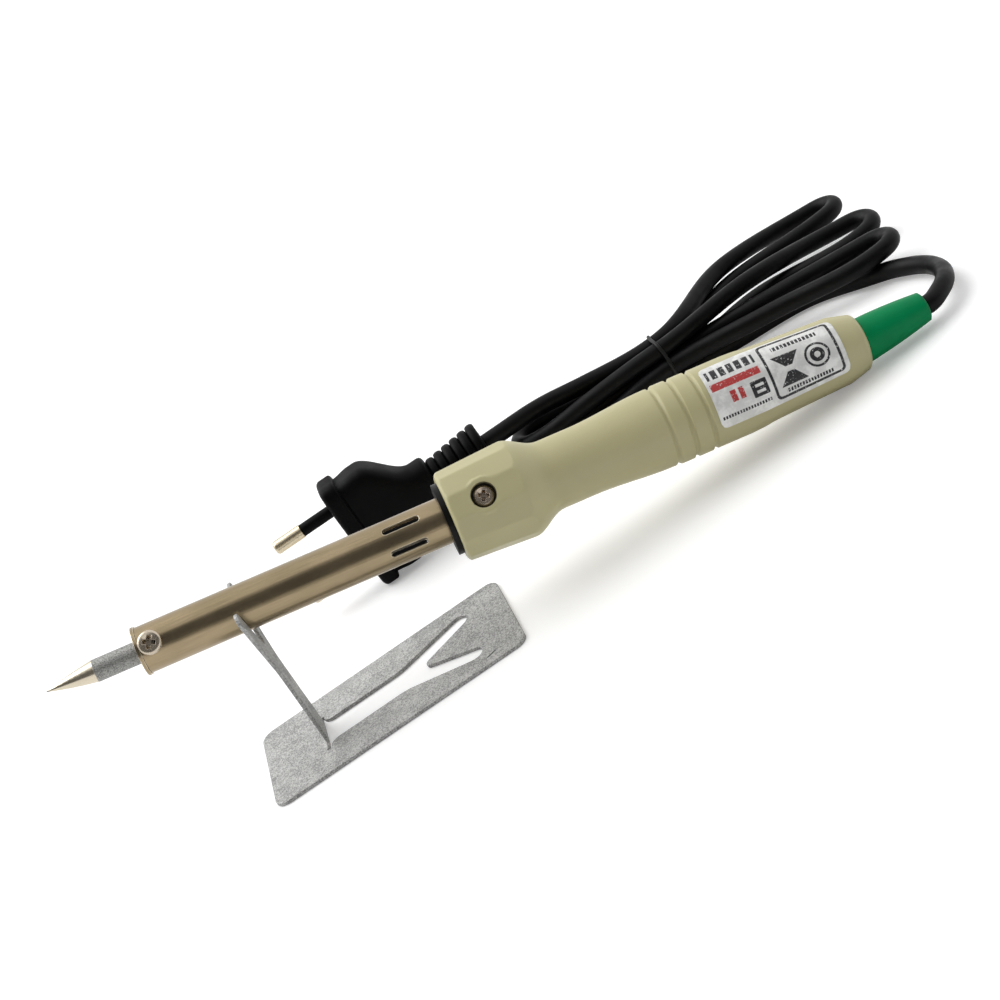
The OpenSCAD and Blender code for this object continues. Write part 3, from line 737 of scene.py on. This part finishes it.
def embossed(xy, high):
    """Height of the two shallow pressed ribs beside the cut-out."""
    rib_half, rib_rise = 2.6 * MM, 0.24 * MM
    rib_inset, end_gap, fade = 4.4 * MM, 9 * MM, 12 * MM
    across = np.abs(np.abs(xy[:, 1]) - (high[1] - rib_inset))
    ends = smooth_step(high[0] - end_gap - np.abs(xy[:, 0]), 0, fade)
    return rib_rise * ends * (1 - smooth_step(across, 0, rib_half))


def sheet_piece(name, flat, triangles, place, seam):
    """A thick sheet whose flat points place() puts in 3-D, with rounded edges but for its seam."""
    piece = new_piece(name, place(flat), triangles, "galvanised_steel")
    thicken(piece, SHEET)
    joined = [bool(seam(point)) for point in flat] * 2

    def is_rim(edge):
        return not any(joined[vert.index] for vert in edge.verts)

    round_rims(piece, opened(piece.data), 0.16 * MM, 3, math.radians(50), is_rim)
    return piece


def opened_at(loop, on_line):
    """The outline as a path that starts and ends where its one edge lies on a line."""
    flags = np.array([bool(on_line(point)) for point in loop])
    pair = int(np.argmax(flags & np.roll(flags, -1)))
    return np.roll(loop, -pair - 1, axis=0)


def stand_plate():
    """The plate; the support's cut-out runs back to where the sheet turns up."""
    loops = [np.array(loop)[:, :2] for loop in flat_loops("stand_plate", Vector((0, 0, -1)), 0.0)]
    outer, cut = sorted(loops, key=lambda loop: -np.ptp(loop[:, 1]))
    root = ROOT_HALF
    slack = 0.01 * MM
    slit = cut[:, 0].min() + slack
    path = opened_at(cut, lambda point: point[0] < slit)
    side = math.copysign(root, path[-1][1])
    back, turn = HINGE.x - LEAD, path[0][0]
    cut = np.vstack([path, [(turn, side), (back, side), (back, -side), (turn, -side)]])
    high = outer.max(0)
    loops = [densified(outer, 1.2 * MM), densified(cut, 0.6 * MM)]
    flat, triangles = filled_outline(loops, 0.8 * MM)

    def place(xy):
        return np.column_stack([xy, SHEET / 2 + embossed(xy, high)])

    def seam(point):
        return back - slack < point[0] < turn - slack and abs(point[1]) < root + slack

    piece = sheet_piece("stand_plate_sheet", flat, triangles, place, seam)
    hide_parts("stand_plate")
    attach(piece, "stand")


def support():
    """The raised fork and its bend, one sheet that turns up out of the plate."""
    front = max(nodes["support_fork"].data.polygons, key=lambda p: p.area * (p.normal.x > 0.9))
    normal = front.normal.copy()
    rise_dir = Vector((-normal.z, 0, normal.x))
    loop = flat_loops("support_fork", normal, HINGE.dot(normal) + SHEET / 2)[0]
    outline = np.array([((p - HINGE).dot(rise_dir), p.y) for p in loop])
    path = opened_at(outline, lambda point: point[0] < 0.05 * MM)
    side = path[-1][1]
    outline = np.vstack([path, [(-LEAD, side), (-LEAD, -side)]])
    flat, triangles = filled_outline([densified(outline, 0.6 * MM)], 0.7 * MM)
    turn = math.pi / 2 - math.asin(rise_dir.x)
    tangent = BEND_RADIUS * math.tan(turn / 2)
    reach = outline[:, 0].max()
    gutter_depth, gutter_half = 0.3 * MM, 1.2 * MM

    def place(uv):
        u, v = uv[:, 0], uv[:, 1]
        phi = np.clip((u + tangent) / (2 * tangent), 0, 1) * turn
        before = np.minimum(u + tangent, 0)
        after = np.maximum(u - tangent, 0)
        gutter = (gutter_depth * np.exp(-(v / gutter_half) ** 2) * smooth_step(u, 2 * MM, 6 * MM)
                  * (1 - smooth_step(u, reach * 0.5, reach * 0.68)))
        x = (HINGE.x - tangent + BEND_RADIUS * np.sin(phi) + before
             + after * rise_dir.x - gutter * normal.x)
        z = HINGE.z + BEND_RADIUS * (1 - np.cos(phi)) + after * rise_dir.z - gutter * normal.z
        return np.column_stack([x, v, z])

    piece = sheet_piece("support_sheet", flat, triangles, place, lambda uv: uv[0] < -tangent)
    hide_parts("support_fork")
    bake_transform(piece)


# ---- the iron ----

def polar_skin(node, stations, angles):
    """Radius of a CAD node's outside at each station and angle round the iron's axis."""
    tree = ray_tree(node)
    radius = np.full((len(stations), len(angles)), SKIN_FLOOR)
    for i, station in enumerate(stations):
        for k, angle in enumerate(angles):
            start = on_iron(station, angle, SKIN_REACH)
            hit = tree.ray_cast(start, -outward(angle), SKIN_REACH - SKIN_FLOOR)
            if hit[0] is not None:
                radius[i, k] = SKIN_REACH - hit[3]
    return radius


def softened(field, sigma_rows, sigma_columns):
    """Field blurred with a bell curve; its columns wrap round."""
    for axis, sigma in ((0, sigma_rows), (1, sigma_columns)):
        weights, reach = bell_weights(sigma)
        pad = [(reach, reach) if a == axis else (0, 0) for a in (0, 1)]
        padded = np.pad(field, pad, mode="edge" if axis == 0 else "wrap")
        field = np.apply_along_axis(lambda line: np.convolve(line, weights, "valid"), axis, padded)
    return field


def polar_points(stations, angles, radius):
    """3-D points of a polar skin."""
    out = np.outer(np.cos(angles), SCREW_DIR) + np.outer(np.sin(angles), SIDE_DIR)
    axis = np.outer(stations, IRON_DIR) + TIP
    return (axis[:, None] + radius[..., None] * out[None]).reshape(-1, 3)


def handle():
    """The moulded handle, read off the CAD and softened, with a sharp round screw recess."""
    first, last = span_of("handle")
    sides = 256
    step, margin = 0.3 * MM, 0.02 * MM
    bore, mouth, depth = 7.9 * MM, 4.65 * MM, 3 * MM
    recess_floor, patch_r = 9.43 * MM, 4.6 * MM
    stations = np.linspace(first + margin, last - margin, int((last - first) / step))
    angles = round_angles(sides)
    radius = polar_skin("handle", stations, angles)
    screw_station = station_of(points_of("handle_screw")).mean()
    off_screw = np.abs(stations - screw_station) > patch_r
    facet = np.interp(stations, stations[off_screw], radius[off_screw, 0])[:, None]
    turned = np.minimum(angles, 2 * math.pi - angles)[None]
    near_screw = np.hypot(stations[:, None] - screw_station, turned * facet) < patch_r
    radius = np.where(near_screw, facet / np.cos(angles)[None], radius)
    radius = softened(radius, 0.45, 1.0)
    stations = np.concatenate([[first + depth, first], stations, [last, last - depth]])
    radius = np.vstack([np.full((2, sides), bore), radius, np.full((2, sides), mouth)])
    count = len(stations)
    faces = [tuple(i % (count * sides) for i in face) for face in ring_faces(count + 1, sides)]
    piece = new_piece("handle_shell", polar_points(stations, angles, radius), faces,
                      "beige_plastic")
    floor_spot = TIP + IRON_DIR * screw_station + SCREW_DIR * recess_floor
    cutter = round_bar("handle_cutter", floor_spot, SCREW_DIR, RECESS_RADIUS, 8 * MM, 72)

    def is_rim(spot):
        offset = spot - floor_spot
        height = offset.dot(SCREW_DIR)
        return height > 0.5 * MM and (offset - SCREW_DIR * height).length < RECESS_RADIUS * 1.05

    cut_away(piece, [cutter], 0.14 * MM, is_rim)
    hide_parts("handle")
    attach(piece, "iron")


def round_bar(name, start, way, radius, length, sides):
    """A closed cylinder used to cut a round hole."""
    ends = [start, start + way * length]
    points = swept_points(np.array(ends), [radius, radius], sides)
    faces = ring_faces(2, sides) + [tuple(range(sides)), tuple(range(2 * sides - 1, sides - 1, -1))]
    return new_piece(name, points, faces, "beige_plastic")


def label():
    """The foil label, wrapped over the handle, with rounded corners."""
    first, last = span_of("label_plate")
    offsets = points_of("label_plate") - TIP
    turns = np.arctan2(offsets @ SIDE_DIR, offsets @ SCREW_DIR)
    low, high = turns.min(), turns.max()
    middle = (low + high) / 2
    rows, columns = 90, 80
    corner, margin = 1.6 * MM, 0.02 * MM
    thickness = 0.14 * MM
    stations = np.linspace(first + margin, last - margin, rows)
    radius = polar_skin("label_plate", stations, [middle])[:, 0]
    end_gap = np.minimum(stations - stations[0], stations[-1] - stations)
    inset = corner - np.sqrt(np.maximum(corner ** 2 - np.maximum(corner - end_gap, 0) ** 2, 0))
    half = (high - low) / 2 - inset / radius
    points, uvs = [], []
    for station, r, reach in zip(stations, radius, half):
        for turn in np.linspace(-1, 1, columns) * reach:
            points.append(on_iron(station, middle + turn, r - thickness / 2))
            uvs.append(((station - first) / (last - first), 0.5 - turn / (high - low)))
    print_width = float((high - low) * radius.mean())
    piece = new_piece("label_foil", points, ring_faces(rows, columns, closed=False), "label_foil",
                      printed_foil(last - first, print_width))
    layer = piece.data.uv_layers.new(name="print")
    for loop in piece.data.loops:
        layer.data[loop.index].uv = uvs[loop.vertex_index]
    thicken(piece, thickness)
    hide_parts("label_plate")
    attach(piece, "iron")


def screw_sizes(node):
    """A CAD screw's middle on the iron's axis, its head and shank radii, and its heights."""
    points = points_of(node)
    base = TIP + IRON_DIR * float(station_of(points).mean())
    offsets = points - base
    heights = offsets @ SCREW_DIR
    reach = np.linalg.norm(offsets - np.outer(heights, SCREW_DIR), axis=1)
    head_r = reach.max()
    seat = heights[reach > head_r * 0.9].min()
    shank_r = reach[heights < seat - 0.1 * MM].max()
    return base, head_r, shank_r, heights.min(), seat, heights.max()


def cross_blade(name, slot, place, angle, head_r, low, high):
    """One blade of a cross recess, tapered towards its foot."""
    turn = Matrix.Rotation(math.radians(angle), 3, "Z")
    half_long, half_thin = head_r * 0.68, head_r * 0.18
    corners = [Vector((x * half_long * taper, y * half_thin, z))
               for z, taper in ((low, 0.45), (high, 1))
               for x, y in ((-1, -1), (1, -1), (1, 1), (-1, 1))]
    walls = [(3, 2, 1, 0), (4, 5, 6, 7)]
    walls += [(k, (k + 1) % 4, 4 + (k + 1) % 4, 4 + k) for k in range(4)]
    return new_piece(f"{name}_cutter", [place(turn @ corner) for corner in corners], walls, slot)


def screw(name, node, slot, body):
    """Pan-head screw with a tapered cross recess, in place of a CAD screw of the same size."""
    base, head_r, shank_r, foot, seat, top = screw_sizes(node)
    head_h = top - seat
    corner = min(head_h * 0.6, head_r * 0.3)
    crown = 0.2 * head_h
    profile = [(shank_r, foot), (shank_r, seat), (head_r - 0.08 * MM, seat)]
    profile += [(head_r - corner * (1 - math.cos(t)), top - crown - corner * (1 - math.sin(t)))
                for t in np.linspace(0, math.pi / 2, 8)]
    profile += [((head_r - corner) * (1 - k), top - crown * (1 - k) ** 2) for k in (0.3, 0.6, 0.85)]
    sides = 56
    local = [(r * math.cos(t), r * math.sin(t), h) for r, h in profile for t in round_angles(sides)]
    local += [(0, 0, foot), (0, 0, top)]
    foot_spot, top_spot = len(local) - 2, len(local) - 1
    last = (len(profile) - 1) * sides
    faces = ring_faces(len(profile), sides)
    faces += [(foot_spot, (k + 1) % sides, k) for k in range(sides)]
    faces += [(top_spot, last + k, last + (k + 1) % sides) for k in range(sides)]
    to_row = Matrix((IRON_DIR, SIDE_DIR, SCREW_DIR)).transposed()

    def place(spot):
        return base + to_row @ Vector(spot)

    piece = new_piece(name, [place(spot) for spot in local], faces, slot)
    cutters = [cross_blade(name, slot, place, angle, head_r, top - 0.85 * head_h, top + 0.5 * MM)
               for angle in (24, 114)]
    rim_low = top - crown - 0.1 * MM
    cut_away(piece, cutters, 0.05 * MM, lambda spot: (spot - base).dot(SCREW_DIR) > rim_low)
    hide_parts(node)
    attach(piece, body)


def boot_path():
    """Centres of the cord's first stretch: inside the handle, where it turns up, and its end."""
    inner = points_of("cord_tail")
    start = inner[np.argmin(station_of(inner))]
    near_axis = TIP + IRON_DIR * float(station_of(start))
    return tube_centres("cord_tail", near_axis, 2.7 * MM)


def boot_rings(rear, lean, length):
    """Centres and radii of the boot's rings, from its socket at the handle to its cord bore."""
    base_r, end_r, end_round, bulge = 5.85 * MM, 3.85 * MM, 0.9 * MM, 0.25 * MM
    socket_r, bore_r = 4.5 * MM, 2.55 * MM
    root = TIP + IRON_DIR * (rear + 0.05 * MM)
    path = [root - IRON_DIR * MM, root - IRON_DIR * WELD]
    radii = [socket_r, socket_r]
    for t in np.linspace(0, 1, 40):
        direction = IRON_DIR.lerp(lean, smooth_step(t, 0, 0.15))
        path.append(root + direction * (length * t))
        radii.append(base_r + (end_r - base_r) * t + bulge * math.sin(math.pi * t))
    axis = (path[-1] - path[-2]).normalized()
    tail = path.pop()
    radii.pop()
    for t in np.linspace(0, math.pi / 2, 7):
        path.append(tail - axis * (end_round * (1 - math.sin(t))))
        radii.append(end_r - end_round * (1 - math.cos(t)))
    path += [path[-1] + axis * WELD, path[-1] - axis * MM]
    radii += [bore_r, bore_r]
    return path, radii


def boot():
    """Green strain sleeve: a slim cone that leans with the cord and ends in a soft round."""
    _, corner, end = [Vector(p) for p in boot_path()]
    lean = (end - corner).normalized()
    rear, tip_end = span_of("handle")[1], span_of("cord_boot")[1]
    path, radii = boot_rings(rear, lean, (tip_end - rear) / IRON_DIR.dot(lean))
    sides = 64
    across = Vector((0, 1, 0))
    points = []
    for centre, radius in zip(path, radii):
        share = smooth_step(station_of(np.array(centre)), rear, rear + 3 * MM)
        up = IRON_DIR.lerp(lean, share).normalized().cross(across)
        points.extend(centre + (across * math.cos(t) + up * math.sin(t)) * radius
                      for t in round_angles(sides))
    piece = new_piece("boot_sleeve", points, ring_faces(len(path), sides), "green_rubber",
                      sharp=math.radians(60))
    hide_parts("cord_boot")
    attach(piece, "iron")


# ---- cord, tie and plug ----

def evened(path, pitch, sigma):
    """A path with points a pitch apart, its kinks rounded off; its two ends stay."""
    run = np.concatenate([[0], np.cumsum(np.linalg.norm(np.diff(path, axis=0), axis=1))])
    marks = np.linspace(0, run[-1], int(run[-1] / pitch) + 1)
    even = np.column_stack([np.interp(marks, run, path[:, k]) for k in range(3)])
    weights, reach = bell_weights(sigma)
    before = 2 * even[0] - even[reach:0:-1]
    after = 2 * even[-1] - even[-2:-reach - 2:-1]
    padded = np.vstack([before, even, after])
    return np.column_stack([np.convolve(padded[:, k], weights, "valid") for k in range(3)])


def cord():
    """The whole flex as one smooth tube: its path runs from the iron at one end to the hank on the bench beyond.
    """
    radius, sides, bend_length = 2.49 * MM, 28, 30 * MM
    joint_rings = 3
    tail = boot_path()
    end = Vector(tail[-1])
    far = points_of("cord_hank")
    start = far[np.argmin(np.linalg.norm(far - end, axis=1))]
    hank = tube_centres("cord_hank", Vector(start), 2.4 * MM)[joint_rings:]
    path = evened(np.vstack([tail, hank]), 0.9 * MM, 1.6)
    piece = new_piece("flex_cord", swept_points(path, np.full(len(path), radius), sides),
                      ring_faces(len(path), sides), "black_cord")
    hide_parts("cord_tail", "cord_hank")
    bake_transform(piece)


def tie():
    """Vinyl-covered wire pulled round the hank."""
    low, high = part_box("cord_tie")
    centre = (low + high) / 2
    tree = ray_tree("cord_tie")
    far, wire, wander = 40 * MM, 0.5 * MM, 0.25 * MM
    count, sides = 72, 14
    path = []
    for t in np.linspace(-math.pi, math.pi, count, endpoint=False):
        spoke = Vector((0, math.cos(t), math.sin(t)))
        r = far - tree.ray_cast(centre + spoke * far, -spoke)[3] - wire
        path.append(centre + spoke * r + Vector((wander * math.sin(3 * t), 0, 0)))
    path = np.array(path)
    path = (np.roll(path, 1, axis=0) + path * 2 + np.roll(path, -1, axis=0)) / 4
    closed = np.vstack([path, path[:2]])
    rings = swept_points(closed, np.full(len(closed), wire), sides)[:count * sides]
    faces = [(a, b, c % len(rings), d % len(rings)) for a, b, c, d in ring_faces(count + 1, sides)]
    piece = new_piece("hank_tie", rings, faces, "black_tie")
    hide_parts("cord_tie")
    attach(piece, "stand")


def plug_lip(half_w, half_t, lip):
    """Sections of the plug's lip, rounded at both edges: station, half sizes and power."""
    front, rear = 1.5 * MM, 0.9 * MM
    sections = []
    for t in np.linspace(0, math.pi / 2, 7):
        edge = front * (1 - math.sin(t))
        sections.append((front * (1 - math.cos(t)), half_w - edge, half_t - edge, SQUARE))
    for t in np.linspace(0, math.pi / 2, 6):
        edge = rear * (1 - math.cos(t))
        sections.append((lip - rear * (1 - math.sin(t)), half_w - edge, half_t - edge, SQUARE))
    return sections


def plug_grip(half_w, half_t, lip, neck):
    """Sections of the waisted grip between the lip and the neck."""
    grip_w, grip_t, neck_w = half_w - 1.7 * MM, half_t - 0.7 * MM, 7.3 * MM
    sections = [(lip + 0.15 * MM, grip_w, grip_t, SQUARE)]
    stations = np.concatenate([np.linspace(lip + 0.6 * MM, neck - 1.6 * MM, 40),
                               np.linspace(neck - 1.4 * MM, neck, 8)])
    for station in stations:
        swell = smooth_step(station, lip, lip + 5 * MM)
        waist = smooth_step(station, lip + 7 * MM, neck - 4 * MM)
        thinning = smooth_step(station, lip + 8 * MM, neck)
        near_end = np.clip(1 - (neck - station) / (1.4 * MM), 0, 1)
        closing = 1.2 * MM * (1 - math.sqrt(1 - near_end ** 2))
        w = grip_w + 0.6 * MM * swell
        w += (neck_w - w) * waist
        t = grip_t + 0.35 * MM * swell - 1.0 * MM * thinning
        power = SQUARE + (OVAL + 0.6 - SQUARE) * waist
        sections.append((station, w - closing, t - closing, power))
    return sections


def plug_relief(neck, end, ribs=6):
    """Sections of the ribbed strain relief and of its bore round the cord."""
    pitch = (end - neck) / ribs
    sections = []
    for i in range(ribs):
        big = (5.6 + 0.3 * i) * MM
        valley = big - 1.0 * MM
        middle = neck + pitch * (i + 0.5)
        for t in np.linspace(-math.pi / 2, math.pi / 2, 11):
            r = valley + (big - valley) * math.cos(t) ** 0.7
            sections.append((middle + pitch * 0.47 * math.sin(t), r, r, OVAL))
    closing = [(end - 0.1 * MM, 4.2 * MM), (end, 3.4 * MM), (end, 2.5 * MM), (end - MM, 2.5 * MM)]
    return sections + [(station, r, r, OVAL) for station, r in closing]


def plug():
    """Moulded two-pin plug: a lip, a waisted grip and a ribbed strain relief."""
    low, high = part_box("plug_body")
    half_w, half_t = (high.z - low.z) / 2, (high.y - low.y) / 2
    lip, neck, end = 5 * MM, 28.6 * MM, high.x - low.x
    sections = plug_lip(half_w, half_t, lip) + plug_grip(half_w, half_t, lip, neck)
    sections += plug_relief(neck, end)
    centre = Vector((low.x, (low.y + high.y) / 2, (low.z + high.z) / 2))
    sides = 96
    points = []
    for station, w, t, power in sections:
        for angle in round_angles(sides):
            c, s = math.cos(angle), math.sin(angle)
            y = math.copysign(abs(c) ** (2 / power), c) * t
            z = math.copysign(abs(s) ** (2 / power), s) * w
            points.append(centre + Vector((station, y, z)))
    faces = ring_faces(len(sections), sides)
    faces.append(tuple(range(sides - 1, -1, -1)))
    piece = new_piece("plug_moulding", points, faces, "black_plug", sharp=math.radians(45))
    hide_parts("plug_body")
    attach(piece, "stand")


# ---- floor, light and camera ----

def floor():
    """A plain pale bench top, lit a little from below so that its shadows stay faint."""
    half, glow = 20.0, 0.25
    paint = Paint("pale_floor")
    cloud = paint.noise(0.3, 2.0)
    seen = paint.node("LightPath").outputs["Is Camera Ray"]
    paint.set(Base_Color=paint.tint((0.9, 0.9, 0.9), cloud, 0.99, 1.0), Roughness=0.6,
              Specular_IOR_Level=0.2, Emission_Color=(1, 1, 1, 1),
              Emission_Strength=paint.times(seen, glow))
    mesh = bpy.data.meshes.new("floor")
    mesh.from_pydata([(-half, -half, 0), (half, -half, 0), (half, half, 0), (-half, half, 0)], [],
                     [(0, 1, 2, 3)])
    mesh.materials.append(paint.material)
    ground = placed("floor", mesh)
    ground.location.z = cad_low.z - 0.05 * MM


def sky():
    """A bright studio that is dark only behind the camera, which polished metal shows as a band."""
    world = bpy.data.worlds.new("studio")
    world.use_nodes = True
    bpy.context.scene.world = world
    studio = NodeTree(world.node_tree)
    background = world.node_tree.nodes["Background"]
    look = studio.node("TexCoord").outputs["Generated"]
    split = studio.node("SeparateXYZ", {0: look})
    depth, height = split.outputs[1], split.outputs[2]
    toward = studio.step(depth, -0.15, -0.4)
    low_side = studio.step(height, -0.05, 0.1)
    high_side = studio.step(height, 0.82, 0.95, 1.0, 0.0)
    dark = studio.times(studio.times(toward, low_side), high_side)
    studio.feed(background.inputs["Strength"], studio.step(dark, 0.0, 1.0, 0.95, 0.14))
    background.inputs["Color"].default_value = (1, 1, 1, 1)


def sun(name, towards, strength, spread):
    """A soft distant light from a direction."""
    light = bpy.data.lights.new(name, "SUN")
    light.energy = strength
    light.angle = math.radians(spread)
    placed(name, light).rotation_euler = Vector(towards).to_track_quat("Z", "Y").to_euler()


def camera():
    """Looks along the bench from the front, a little above, with the picture turned."""
    azimuth, elevation, roll = math.radians(1.171), math.radians(23.655), math.radians(34.784)
    distance = 0.536436
    target = Vector((0.049128, 0.061737, 0))
    back = Vector((math.sin(azimuth) * math.cos(elevation),
                   -math.cos(azimuth) * math.cos(elevation), math.sin(elevation)))
    level = Vector((math.cos(azimuth), math.sin(azimuth), 0))
    upright = back.cross(level)
    across = level * math.cos(roll) - upright * math.sin(roll)
    upward = level * math.sin(roll) + upright * math.cos(roll)
    lens = bpy.data.cameras.new("camera")
    lens.sensor_width = 36
    lens.lens = 68.319
    lens.clip_start = 0.01
    lens.clip_end = 50
    view = placed("camera", lens)
    turned = Matrix((across, upward, back)).transposed().to_4x4()
    view.matrix_world = Matrix.Translation(target + back * distance) @ turned
    bpy.context.scene.camera = view


# ---- build ----

paint_cad_nodes()
stand_plate()
support()
handle()
label()
screw("clamp_screw_head", "tip_screw", "nickel_screw", "clamp_screw")
screw("handle_screw_head", "handle_screw", "brass_screw", "iron")
boot()
cord()
tie()
plug()
floor()
sky()
sun("key", (-0.55, 0.35, 0.9), 1.6, 55)
camera()
bpy.context.scene.view_settings.view_transform = "Standard"
